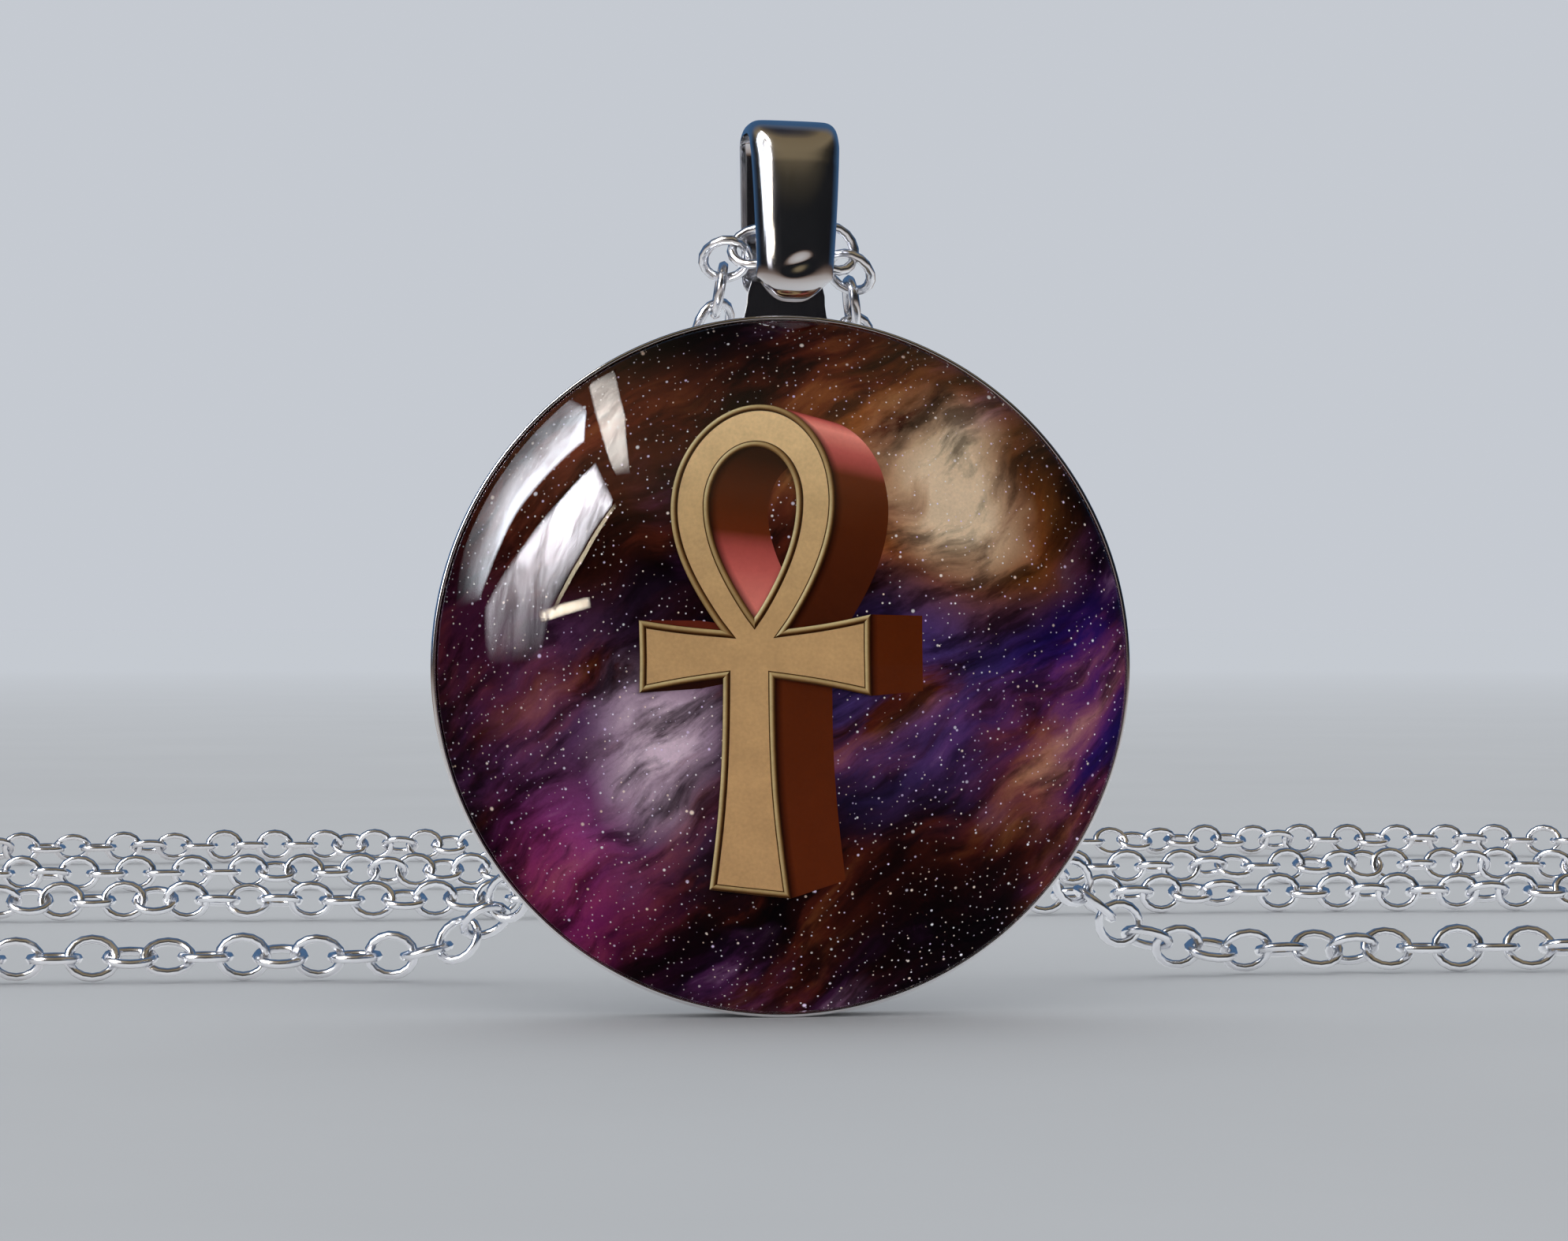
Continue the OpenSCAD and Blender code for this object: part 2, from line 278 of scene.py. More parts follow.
def build_metal_wear():
    """Polish marks and handling: cloudy patches and fine scratches, as a roughness and a height."""
    group, given, out = new_group(
        "metal_wear",
        [("Places", "NodeSocketVector", None), ("Polish", FLOAT, 0.1),
         ("Cloudiness", FLOAT, 0.1), ("Patch size", FLOAT, 1.0)],
        [("Roughness", FLOAT), ("Height", FLOAT), ("Tone", FLOAT)],
    )
    places = given.outputs["Places"]
    fineness = math_node(group, "DIVIDE", 1.0, given.outputs["Patch size"])
    patches = noise_value(group, places, fineness, 4.0, 0.5)
    drawn_out = mapped(group, places, {"Rotation": SCRATCH_TURN, "Scale": SCRATCH_STRETCH})
    lines = noise_value(group, drawn_out, 1.0, 2.0, 0.6)
    cloud = times(group, patches, given.outputs["Cloudiness"])
    fine_lines = times(group, lines, SCRATCH_ROUGHNESS)
    even = math_node(group, "ADD", given.outputs["Polish"], cloud)
    fill(group, out, {
        "Roughness": math_node(group, "ADD", even, fine_lines),
        "Height": math_node(group, "ADD", lines, patches),
        "Tone": patches})
    return group


def build_print_grain():
    """The fine mottling of printed ink, as a share that brightens and darkens a colour."""
    group, given, out = new_group(
        "print_grain",
        [("Places", "NodeSocketVector", None), ("Speck size", FLOAT, 0.1),
         ("Depth", FLOAT, 0.1)],
        [("Share", FLOAT), ("Height", FLOAT)],
    )
    places = given.outputs["Places"]
    fineness = math_node(group, "DIVIDE", 1.0, given.outputs["Speck size"])
    specks = noise_value(group, places, fineness, 3.0, 0.5)
    patches = noise_value(group, places, 0.9, 4.0, 0.6)
    both = math_node(group, "ADD", specks, times(group, patches, PATCH_WEIGHT))
    centred = minus(group, both, (1 + PATCH_WEIGHT) / 2)
    fill(group, out, {
        "Share": math_node(group, "MULTIPLY_ADD", centred, given.outputs["Depth"], 1.0),
        "Height": specks})
    return group


metal_wear = build_metal_wear()
print_grain = build_print_grain()


# Finishes

# Clouds of the print: middle, reach, and for the glowing ones a colour and a strength
DARK_CLOUDS = (((9.0, -6.0, 0), 6.5), ((0.5, 15.0, 0), 4.5), ((14.6, 9.5, 0), 4.5))
GLOWING_CLOUDS = (
    ((14.2, 2.6, 0), 5.6, "2A1874", 0.66), ((-7.3, 4.2, 0), 5.5, "4A1C3C", 0.66),
    ((-4.5, 10.5, 0), 6.0, "7C3A26", 0.68), ((-4.3, -3.6, 0), 5.0, "9C2C74", 0.64),
    ((9.0, 9.8, 0), 6.2, "AC6428", 0.74), ((-1.3, 1.0, 0), 6.0, "7C5080", 0.64),
    ((7.6, 2.6, 0), 5.6, "5C4288", 0.54), ((9.2, 9.8, 0), 3.4, "FFE4C0", 0.75),
    ((-0.7, 1.2, 0), 3.4, "FFE0EC", 0.72),
)
# Stars in three sizes: cell size, star size, share of the cells that hold one, and a shift
STAR_LAYERS = ((0.28, 0.027, 0.55, (5, 8, 0)), (0.7, 0.042, 0.4, (2, 4, 0)), (1.8, 0.062, 0.35, (7, 3, 0)))
# The gold field's shades run over the ankh's height, with this share of it under the card's middle
ANKH_HEIGHT, FOOT_SHARE = 17, 0.46


def metal_finish(name, tone, polish, cloudiness, patch_size, relief):
    """Worn metal, a little darker where it is less worn."""
    material, tree, surface = new_material(name)
    wear = use_group(tree, metal_wear, Places=pendant_places(tree), Polish=polish, Cloudiness=cloudiness,
                     Patch_size=patch_size)
    dull = [DULL_SHARE * c for c in tone[:3]] + [1.0]
    fill(tree, surface, {
        "Base Color": mixed(tree, wear.outputs["Tone"], dull, tone),
        "Roughness": wear.outputs["Roughness"],
        "Metallic": 1.0})
    raise_surface(tree, surface, wear.outputs["Height"], relief)
    return material


def glass_finish():
    """Clear glass with a faint ripple, which lets the light through to the print."""
    material, tree, surface = new_material("clear_glass")
    fill(tree, surface, {
        "Base Color": grey(1.0), "Transmission Weight": 1.0, "IOR": 1.5, "Metallic": 0.0, "Roughness": 0.0})
    ripple = noise_value(tree, pendant_places(tree), 0.3, 2.0, 0.5)
    raise_surface(tree, surface, ripple, 1.0, GLASS_RIPPLE)
    clear = put(tree, "ShaderNodeBsdfTransparent", {"Color": grey(0.97)})
    way = put(tree, "ShaderNodeLightPath")
    either = put(tree, "ShaderNodeMixShader", {0: way.outputs["Is Shadow Ray"], 1: surface, 2: clear})
    fill(tree, tree.nodes["Material Output"], {"Surface": either})
    return material


def star_layer(tree, sheet, spacing, size, share, shift):
    """Points of a few sizes and strengths, one at most in each cell of the flat print."""
    cells = put(tree, "ShaderNodeTexVoronoi", {
        "Vector": mapped(tree, sheet, {"Location": shift}), "Scale": 1 / spacing},
        voronoi_dimensions="2D", feature="F1")
    chance, kind, tint = put(tree, "ShaderNodeSeparateColor", {"Color": cells.outputs["Color"]}).outputs
    lit = math_node(tree, "LESS_THAN", chance, share)
    reach = math_node(tree, "MULTIPLY_ADD", kind, size / spacing, 0.5 * size / spacing)
    near = minus(tree, 1.0, math_node(tree, "DIVIDE", cells.outputs["Distance"], reach))
    rare = math_node(tree, "POWER", kind, 2.0)
    strength = times(tree, lit, math_node(tree, "MULTIPLY_ADD", rare, 0.55, 0.45))
    core = times(tree, near, 2.0, clamp=True)
    return times(tree, core, strength), tint


def soft_patch(tree, places, middle, reach, ragged):
    """A share that is 1 at a place and fades softly with distance, in streaks of a noise."""
    away = put(tree, "ShaderNodeVectorMath", {0: places, 1: middle}, operation="DISTANCE").outputs["Value"]
    fade = minus(tree, 1.0, math_node(tree, "DIVIDE", away, reach), clamp=True)
    soft = math_node(tree, "POWER", fade, 1.5)
    uneven = times(tree, minus(tree, ragged, 0.36), 5.5, clamp=True)
    return times(tree, times(tree, soft, uneven), 1.8, clamp=True)


def flowing_places(tree, sheet, turn, along, across, sway):
    """The flat print's places bent by a slow noise, then drawn out in one slanting direction."""
    slow = put(tree, "ShaderNodeTexNoise", {"Vector": sheet, "Scale": 0.11, "Detail": 3.0})
    bent = put(tree, "ShaderNodeVectorMath", {0: slow.outputs["Color"], 1: (sway, sway, 0), 2: sheet},
               operation="MULTIPLY_ADD")
    turned = put(tree, "ShaderNodeVectorRotate", {
        "Vector": bent, "Angle": math.radians(turn)}, rotation_type="Z_AXIS")
    return mapped(tree, turned, {"Scale": (along, across, 1.0)})


def grained(tree, places, paint, speck_size, depth):
    """A paint with the print's grain on it, and the grain's own height."""
    grain = use_group(tree, print_grain, Places=places, Speck_size=speck_size, Depth=depth)
    toned = put(tree, "ShaderNodeVectorMath", {0: paint, "Scale": grain.outputs["Share"]}, operation="SCALE")
    return toned.outputs["Vector"], grain.outputs["Height"]


def sky_print_finish():
    """A generic printed sky: warm and violet clouds over the dark, with fine white stars."""
    material, tree, surface = new_material("printed_card")
    places = pendant_places(tree)
    across, _, up = put(tree, "ShaderNodeSeparateXYZ", {"Vector": places}).outputs
    sheet = put(tree, "ShaderNodeCombineXYZ", {"X": across, "Y": up})
    flow = flowing_places(tree, sheet, -34, 0.3, 1.0, 6.0)
    stirred = flowing_places(tree, sheet, 0, 1.0, 1.0, 7.0)
    billow = noise_value(tree, flow, 0.26, 10.0, 0.6, (2.4, 6.1, 0))
    mist = noise_value(tree, flow, 0.42, 10.0, 0.62, (9.3, 1.6, 0))
    drift = noise_value(tree, sheet, 0.13, 3.0, 0.5, (3.1, 8.2, 0))
    base = ramp(tree, billow, [
        (0.42, "040102"), (0.49, "200806"), (0.56, "562012"),
        (0.63, "824624"), (0.74, "BE8450")])
    violet = ramp(tree, mist, [
        (0.42, "060207"), (0.49, "240E26"), (0.57, "542854"),
        (0.68, "A4769E")])
    sky = mixed(tree, ramp(tree, drift, [(0.5, 0.0), (0.66, 0.8)]), base, violet)
    for middle, reach in DARK_CLOUDS:
        shade = times(tree, soft_patch(tree, stirred, middle, reach, billow), 0.9)
        sky = mixed(tree, shade, sky, colour("030103"))
    for middle, reach, shade, strength in GLOWING_CLOUDS:
        share = times(tree, soft_patch(tree, stirred, middle, reach, mist), strength)
        sky = mixed(tree, share, sky, colour(shade), "SCREEN")
    wisps = noise_value(tree, flow, 0.9, 9.0, 0.6, (5.2, 3.3, 0))
    sky = mixed(tree, ramp(tree, wisps, [(0.38, 0.7), (0.5, 0.0)]), sky, colour("0C0305"))
    sky, height = grained(tree, places, sky, 0.1, 0.3)
    for spacing, size, share, shift in STAR_LAYERS:
        glow, tint = star_layer(tree, sheet, spacing, size, share, shift)
        white = ramp(tree, tint, [(0.0, "FFE0C4"), (0.5, "FFFFFF"), (1.0, "F0D8FF")])
        sky = mixed(tree, glow, sky, white)
    fill(tree, surface, {"Base Color": sky, "Roughness": 0.55, "Specular IOR Level": 0.0})
    raise_surface(tree, surface, height, 0.1)
    return material


def ink_finish(name, painted, speck_size, depth):
    """Ink whose colour is painted by the print itself, with a fine grain on it."""
    material, tree, surface = new_material(name)
    toned, height = grained(tree, pendant_places(tree), painted(tree), speck_size, depth)
    fill(tree, surface, {"Base Color": toned, "Roughness": 0.5, "Specular IOR Level": 0.0})
    raise_surface(tree, surface, height, 0.15)
    return material


def painted_value(tree, name):
    return put(tree, "ShaderNodeAttribute", attribute_type="GEOMETRY", attribute_name=name).outputs["Fac"]


def gold_paint(tree):
    """Old gold: the bead's painted light at the edges, and a field that is palest at the top."""
    moulding = ramp(tree, painted_value(tree, "moulding_light"), [
        (0.0, "341B0B"), (0.25, "5F3E20"), (0.5, "906C41"),
        (0.75, "BDA370"), (1.0, "E2D3A2")])
    axes = put(tree, "ShaderNodeSeparateXYZ", {"Vector": pendant_places(tree)})
    height = math_node(tree, "MULTIPLY_ADD", axes.outputs["Z"], 1 / ANKH_HEIGHT, FOOT_SHARE)
    field = ramp(tree, height, [
        (0.0, "CEA26F"), (0.25, "C99E6C"), (0.56, "C79F6D"),
        (0.78, "D4AF7B"), (0.97, "FBD59C")])
    return mixed(tree, painted_value(tree, "flat_field"), moulding, field)


def side_paint(tree):
    facing = ramp(tree, painted_value(tree, "facing"), [
        (0.0, "2E1209"), (0.2, "30140A"), (0.4, "4E200D"),
        (0.5, "57230B"), (0.56, "642911"), (0.6, "AC4C44"),
        (0.64, "C86057"), (0.74, "FF9A88"), (0.82, "D8645A"),
        (0.88, "943630"), (0.93, "5E2218"), (1.0, "6A2A18")])
    return mixed(tree, painted_value(tree, "near_face"), facing, colour("1A0703"))


# The printed ankh

ANKH_SHIFT = 1.0
ANKH_LEAN = -0.013
STEM_SHIFT = 0.19
ANKH_TURN = 0.014
LOOP_TOP, LOOP_HALF_W, LOOP_BAND, LOOP_WIDE_H = 8.88, 2.74, 1.295, 5.43
HOLE_TOP, HOLE_TIP = 7.34, 1.59
WAIST_HALF_W, WAIST_TOP, WAIST_BOTTOM = 1.1, 1.2, 0.39
ARM_L, ARM_TOP, ARM_BOTTOM = 3.81, 1.61, 0.91
STEM_BOTTOM, STEM_HALF_W, STEM_TOP_HALF_W = 7.63, 1.37, 0.85
SIDE_SHIFT, SIDE_SCALE, SIDE_RISE_SCALE, SIDE_LEVEL = 1.89, 0.957, 0.928, 1.19
ARM_BEND, STEM_BEND, END_BEND = 0.04, 0.15, 0.02
LOOP_POWER = 0.93
CURVE_STEPS, FLARE_STEPS = 28, 10
CARD_FRONT, SIDE_FRONT, FACE_FRONT = 1.12, 1.17, 1.27
BEAD_W, BEAD_HEIGHT, GROOVE_W = 0.2, 0.025, 0.035
BEAD_PLACES, GROOVE_PLACES = [0, 0.12, 0.28, 0.45, 0.62, 0.78, 0.92, 1.0], [0.3, 0.75, 1.0]
BEAD_EDGE_TILT = math.radians(62)
RIM_LIGHT, LIP_LIGHT = 0.4, 0.4
WALL_SHARES, FACE_SHADOW, SHADOW_REACH = [0.0, 0.05, 0.14, 1.0], 0.8, 0.14


def arch(half_w, wide_h, top):
    angles = [math.pi / 2 * i / CURVE_STEPS for i in range(CURVE_STEPS + 1)]
    return [(half_w * math.sin(a), wide_h + (top - wide_h) * math.cos(a)) for a in angles]


def taper(half_w, wide_h, low_w, low_h):
    line = []
    for i in range(1, CURVE_STEPS + 1):
        share = 1 - i / CURVE_STEPS
        swell = math.sin(math.pi / 2 * share) ** LOOP_POWER
        line.append((low_w + (half_w - low_w) * swell, low_h + (wide_h - low_h) * share))
    return line


def flare(start, end, bend):
    line = []
    for i in range(1, FLARE_STEPS + 1):
        share = i / FLARE_STEPS
        bow = math.sin(math.pi * share)
        line.append(tuple(a + (b - a) * share + c * bow for a, b, c in zip(start, end, bend)))
    return line


def mirrored(half):
    return half + [(-x, z) for x, z in reversed(half) if x > 0.01]


def leaned(x, z):
    if z > 0:
        return ANKH_LEAN * z
    return -STEM_SHIFT * min(1.0, (ARM_L - abs(x)) / (ARM_L - STEM_TOP_HALF_W))


def drawn(line):
    placed = []
    for x, z in line:
        grown = z * (1 + ANKH_TURN * x)
        placed.append(Vector((x - ANKH_SHIFT + leaned(x, grown), grown)))
    return placed


def pushed_back(line):
    return [Vector((SIDE_SHIFT + (p.x + ANKH_SHIFT) * SIDE_SCALE - ANKH_SHIFT,
                    SIDE_LEVEL + (p.y - SIDE_LEVEL) * SIDE_RISE_SCALE)) for p in line]


def ankh_outlines():
    outer = (
        arch(LOOP_HALF_W, LOOP_WIDE_H, LOOP_TOP)
        + taper(LOOP_HALF_W, LOOP_WIDE_H, WAIST_HALF_W, WAIST_TOP)
        + flare((WAIST_HALF_W, WAIST_TOP), (ARM_L, ARM_TOP), (0, -ARM_BEND))
        + flare((ARM_L, ARM_TOP), (ARM_L, -ARM_BOTTOM), (-END_BEND, 0))
        + flare((ARM_L, -ARM_BOTTOM), (STEM_TOP_HALF_W, -WAIST_BOTTOM), (0, ARM_BEND))
        + flare((STEM_TOP_HALF_W, -WAIST_BOTTOM), (STEM_HALF_W, -STEM_BOTTOM), (-STEM_BEND, 0))
    )
    foot = [(STEM_HALF_W * (1 - i / 4), -STEM_BOTTOM) for i in range(1, 4)]
    hole_half_w = LOOP_HALF_W - LOOP_BAND
    hole = arch(hole_half_w, LOOP_WIDE_H, HOLE_TOP) + taper(hole_half_w, LOOP_WIDE_H, 0, HOLE_TIP)
    return drawn(mirrored(outer + foot)), drawn(mirrored(hole))[::-1]


def edge_outwards(line):
    """The direction out of the ink at each edge of a line that runs clockwise round the ink."""
    count = len(line)
    steps = [(line[(i + 1) % count] - line[i]).normalized() for i in range(count)]
    return [Vector((-s.y, s.x)) for s in steps]


def corner_outwards(outwards, i, edge):
    """The direction out of the ink at a corner as one of its two edges shows it."""
    before, after = outwards[i - 1], outwards[i]
    if before.dot(after) > 0.9:
        return (before + after).normalized()
    return outwards[edge]


def inset(line, distance):
    outwards = edge_outwards(line)
    moved = []
    for i, point in enumerate(line):
        before, after = outwards[i - 1], outwards[i]
        mitre = (before + after) / (1 + before.dot(after))
        moved.append(point - mitre * distance)
    return moved


def cap_faces(loops):
    """Triangles over the space inside the first line and outside the others, as corner numbers."""
    numbers = [i for _, ring in loops for i in ring]
    flat = [[Vector((p.x, p.y, 0)) for p in line] for line, _ in loops]
    return [tuple(numbers[i] for i in triangle) for triangle in tessellate_polygon(flat)]


def on_card(point, depth):
    return at(point.x, -depth, CENTRE_Z + point.y)


def corner_values(piece, name, values):
    layer = piece.data.attributes.new(name, "FLOAT", "CORNER")
    layer.data.foreach_set("value", values)


PAINT_LIGHT = Vector((-0.62, 0.52, 0.58)).normalized()


def bead_light(outward, across):
    """How light the print shows the rounded bead, from its outer edge at 0 to its inner one at 1."""
    tilt = BEAD_EDGE_TILT * (1 - 2 * across)
    lean = outward * math.sin(tilt)
    return max(0.0, Vector((lean.x, lean.y, math.cos(tilt))).dot(PAINT_LIGHT))


def ring_light(outward, k):
    """How light the print shows one ring of the edge: the bead in its own light, and the groove dark."""
    if k >= len(BEAD_PLACES):
        return 0.0
    share = LIP_LIGHT if k == len(BEAD_PLACES) - 1 else 1.0
    return share * bead_light(outward, BEAD_PLACES[k])


def build_ankh_face():
    """The gold front: a rounded bead along every edge, a dark groove inside it, and a flat field."""
    offsets = [s * BEAD_W for s in BEAD_PLACES] + [BEAD_W + s * GROOVE_W for s in GROOVE_PLACES]
    corners, faces, light, field = [], [], [], []
    inner_loops, rims = [], []
    for line in ankh_outlines():
        outwards = edge_outwards(line)
        count = len(line)
        rings = []
        for offset in offsets:
            across = min(1.0, offset / BEAD_W)
            rise = BEAD_HEIGHT * math.sin(math.pi * across) if across < 1 else 0
            rings.append([len(corners) + i for i in range(count)])
            corners += [on_card(p, FACE_FRONT - BEAD_HEIGHT + rise) for p in inset(line, offset)]
        base = [len(corners) + i for i in range(count)]
        corners += [on_card(p, SIDE_FRONT) for p in line]
        rims.append((line, base))
        for i in range(count):
            n = (i + 1) % count
            faces.append((base[i], base[n], rings[0][n], rings[0][i]))
            light += [RIM_LIGHT] * 4
            field += [0.0] * 4
            sides = [corner_outwards(outwards, i, i), corner_outwards(outwards, n, i)]
            shades = [[ring_light(side, k) for side in sides] for k in range(len(offsets))]
            for k in range(len(offsets) - 1):
                faces.append((rings[k][i], rings[k][n], rings[k + 1][n], rings[k + 1][i]))
                light += shades[k] + shades[k + 1][::-1]
                last = 1.0 if k + 1 == len(offsets) - 1 else 0.0
                field += [0.0, 0.0, last, last]
        inner_loops.append((inset(line, offsets[-1]), rings[-1]))
    for loops, on_field in ((inner_loops, 1.0), (rims, 0.0)):
        for triangle in cap_faces(loops):
            faces.append(triangle)
            light += [0.0] * 3
            field += [on_field] * 3
    piece = new_piece("ankh_gold_face", corners, faces, rounded=False)
    corner_values(piece, "moulding_light", light)
    corner_values(piece, "flat_field", field)
    return piece


def facing_share(side):
    """The way that a wall faces, from straight down at 0 to straight up at 1."""
    return 0.5 + math.degrees(math.atan2(side.y, abs(side.x))) / 180


def build_ankh_sides():
    """The drawn thickness behind the gold face, each wall shaded by the way that it faces."""
    corners, faces, facing, near = [], [], [], []
    fronts, backs = [], []
    shadows = [max(0.0, FACE_SHADOW * (1 - share / SHADOW_REACH)) for share in WALL_SHARES]
    for line in ankh_outlines():
        outwards = edge_outwards(line)
        behind = pushed_back(line)
        count = len(line)
        rings = []
        for share in WALL_SHARES:
            rings.append([len(corners) + i for i in range(count)])
            depth = SIDE_FRONT + (CARD_FRONT - SIDE_FRONT) * share
            corners += [on_card(p.lerp(b, share), depth) for p, b in zip(line, behind)]
        fronts.append((line, rings[0]))
        backs.append((behind, rings[-1]))
        for i in range(count):
            n = (i + 1) % count
            turns = [facing_share(corner_outwards(outwards, corner, i)) for corner in (i, n)]
            for k in range(len(WALL_SHARES) - 1):
                faces.append((rings[k][i], rings[k][n], rings[k + 1][n], rings[k + 1][i]))
                facing += turns + turns[::-1]
                near += [shadows[k]] * 2 + [shadows[k + 1]] * 2
    for loops in (fronts, backs):
        for triangle in cap_faces(loops):
            faces.append(triangle)
            facing += [0.5] * 3
            near += [1.0] * 3
    piece = new_piece("ankh_drawn_sides", corners, faces, rounded=False)
    corner_values(piece, "facing", facing)
    corner_values(piece, "near_face", near)
    return piece


# The tray and its bail

TRAY_R, TRAY_INNER_R, TRAY_DEPTH, TRAY_FLOOR = 12.85, 12.7, 2.14, 0.8
TRAY_REACHES = [0, 0.4, 0.1, 0.05, 0.08, 0]


def build_tray():
    """The round tray: a flat floor with a thin upright rim."""
    points = [(0, 0), (TRAY_R, 0), (TRAY_R, TRAY_DEPTH), (TRAY_INNER_R, TRAY_DEPTH),
              (TRAY_INNER_R, TRAY_FLOOR), (0, TRAY_FLOOR)]
    return turned_round("tray", eased_corners(points, TRAY_REACHES))


BAIL_FRONT, BAIL_BACK = -2.92, 1.28
BAIL_FOOT, BAIL_TOP = 26.2, 33.0
BAIL_TOP_HALF_W, BAIL_FOOT_HALF_W = 1.65, 1.4
RISE_START, RISE_LESS = 0.8, 1.4
BOW_R, BOW_START, BOW_STEP, BOW_PLACES = 16.0, 27.2, 0.2, 21
FOOT_REACHES, TOP_REACHES, BAIL_CORNER_STEPS = [1.2, 1.0], [1.3, 1.3], 12
BAIL_RINGS, STRIP_SIDES = 210, 40
EDGE_TURN = math.radians(1.6)
BACK_SHIFT, FOOT_ROUND = 0.25, 0.9
CROWN_AT_FOOT, CROWN_LOSS, CROWN_DEPTH, CROWN_POWER = 1.22, 0.27, 0.172, 2.75
SHOULDER_R, BACK_FALL_SHARE, FRONT_POWER = 0.45, 0.6, 1.5
SPOON_FALL, SPOON_REACH = 0.4, 1.7
STRIP_THICK, STRIP_SWING = 0.66, 0.06
EDGE_POWER, EDGE_ROUND, EDGE_THINNING, FRONT_THINNING = 7, 0.35, 0.35, 0.25
DENT_X, DENT_Z, DENT_LONG, DENT_SHORT, DENT_DEPTH = 0.08, 27.55, 0.3, 0.17, 0.13
DENT_TURN = math.radians(30)
NECK_X, NECK_Y, NECK_HALF_DEPTH, NECK_CORNER, NECK_TAPER, NECK_SIDES = -0.28, -1.3, 0.7, 0.02, 0.09, 40
NECK_LEVELS = [(25.4, 1.6), (25.75, 1.5), (26.1, 1.44), (26.45, 1.42), (26.9, 1.3)]
SHARP_ANGLE = math.radians(38)


def on_bail(x, y, z):
    """A place on the bail, turned about the tray's middle as the pendant leans on its round edge."""
    up = z - CENTRE_Z
    return at(x * math.cos(EDGE_TURN) + up * math.sin(EDGE_TURN), y,
              CENTRE_Z + up * math.cos(EDGE_TURN) - x * math.sin(EDGE_TURN))


def bow_y(z):
    return BAIL_FRONT + BOW_R - math.sqrt(BOW_R ** 2 - (z - BOW_START) ** 2)


def bail_path():
    """Places round the bail, seen from its side, each with its direction outwards."""
    heights = [BOW_START + BOW_STEP * k for k in range(1, BOW_PLACES + 1)]
    bow = [(bow_y(z), z) for z in heights]
    points = ([(BAIL_BACK, BAIL_FOOT), (BAIL_FRONT, BAIL_FOOT)] + bow
              + [(bow_y(BAIL_TOP), BAIL_TOP), (BAIL_BACK, BAIL_TOP)])
    reaches = FOOT_REACHES + [0] * len(bow) + TOP_REACHES
    wrapped = [points[-1]] + points + [points[0]]
    line = eased_corners(wrapped, [0] + reaches + [0], BAIL_CORNER_STEPS)[1:-1]
    loop = line + [line[0]]
    lengths = [(b - a).length for a, b in zip(loop, loop[1:])]
    total = sum(lengths)
    path, covered, i = [], 0.0, 0
    for k in range(BAIL_RINGS):
        target = total * k / BAIL_RINGS
        while covered + lengths[i] < target:
            covered += lengths[i]
            i += 1
        path.append(loop[i].lerp(loop[i + 1], (target - covered) / lengths[i]))
    ways = []
    for k in range(BAIL_RINGS):
        along = (path[(k + 2) % BAIL_RINGS] - path[k - 2]).normalized()
        ways.append(Vector((-along.y, along.x)))
    return list(zip(path, ways))


def front_fall(x, rise):
    """How far the front leg's face falls back at a distance from its middle line."""
    grown = CROWN_AT_FOOT - CROWN_LOSS * rise
    return CROWN_DEPTH * abs(x * grown) ** CROWN_POWER / grown


def top_fall(x, half_w):
    """How far the top and the back leg round away near their edges."""
    reach = max(0.0, abs(x) - half_w + SHOULDER_R)
    return SHOULDER_R - math.sqrt(max(0.0, SHOULDER_R ** 2 - reach * reach))


def dent_depth(x, z):
    """The depth of the small slanted dent that catches a spark low on the front leg."""
    along = (x * math.cos(DENT_TURN) + z * math.sin(DENT_TURN)) / DENT_LONG
    across = (z * math.cos(DENT_TURN) - x * math.sin(DENT_TURN)) / DENT_SHORT
    return DENT_DEPTH * math.exp(-(along ** 2 + across ** 2) / 2)


def build_bail():
    """A curved strip closed into a tall ring, widest at its top."""
    corners = []
    path = bail_path()
    for place, way in path:
        height = place.y - BAIL_FOOT
        rise = min(1.0, max(0.0, (height - RISE_START) / (BAIL_TOP - BAIL_FOOT - RISE_LESS)))
        half_w = BAIL_FOOT_HALF_W + (BAIL_TOP_HALF_W - BAIL_FOOT_HALF_W) * rise
        low = max(0.0, 1 - height / FOOT_ROUND)
        half_w -= FOOT_ROUND * (1 - math.sqrt(max(0.0, 1 - low * low)))
        back_share = (place.x - BAIL_FRONT) / (BAIL_BACK - BAIL_FRONT)
        front = max(0.0, -way.x) ** FRONT_POWER
        thick = STRIP_THICK - STRIP_SWING * way.x
        spoon = SPOON_FALL * max(0.0, 1 - height / SPOON_REACH) ** 2
        for k in range(2 * STRIP_SIDES):
            outer = k < STRIP_SIDES
            a = math.pi * (k % STRIP_SIDES) / STRIP_SIDES
            u = -math.cos(a) if outer else math.cos(a)
            x = u * half_w
            edge = (1 - abs(u) ** EDGE_POWER) ** EDGE_ROUND
            fall = front * (front_fall(x, rise) + spoon * u * u)
            fall += (1 - front) * BACK_FALL_SHARE * top_fall(x, half_w)
            if outer:
                fall += front * dent_depth(x - DENT_X, place.y - DENT_Z)
            strip = thick * (1 - (EDGE_THINNING + FRONT_THINNING * front) * u * u)
            depth = fall + strip / 2 - (edge if outer else -edge) * strip / 2
            y, z = place - way * depth
            corners.append(on_bail(x - BACK_SHIFT * back_share, y, z))
    return new_piece("bail", corners, bands(len(path), 2 * STRIP_SIDES, closed=True))


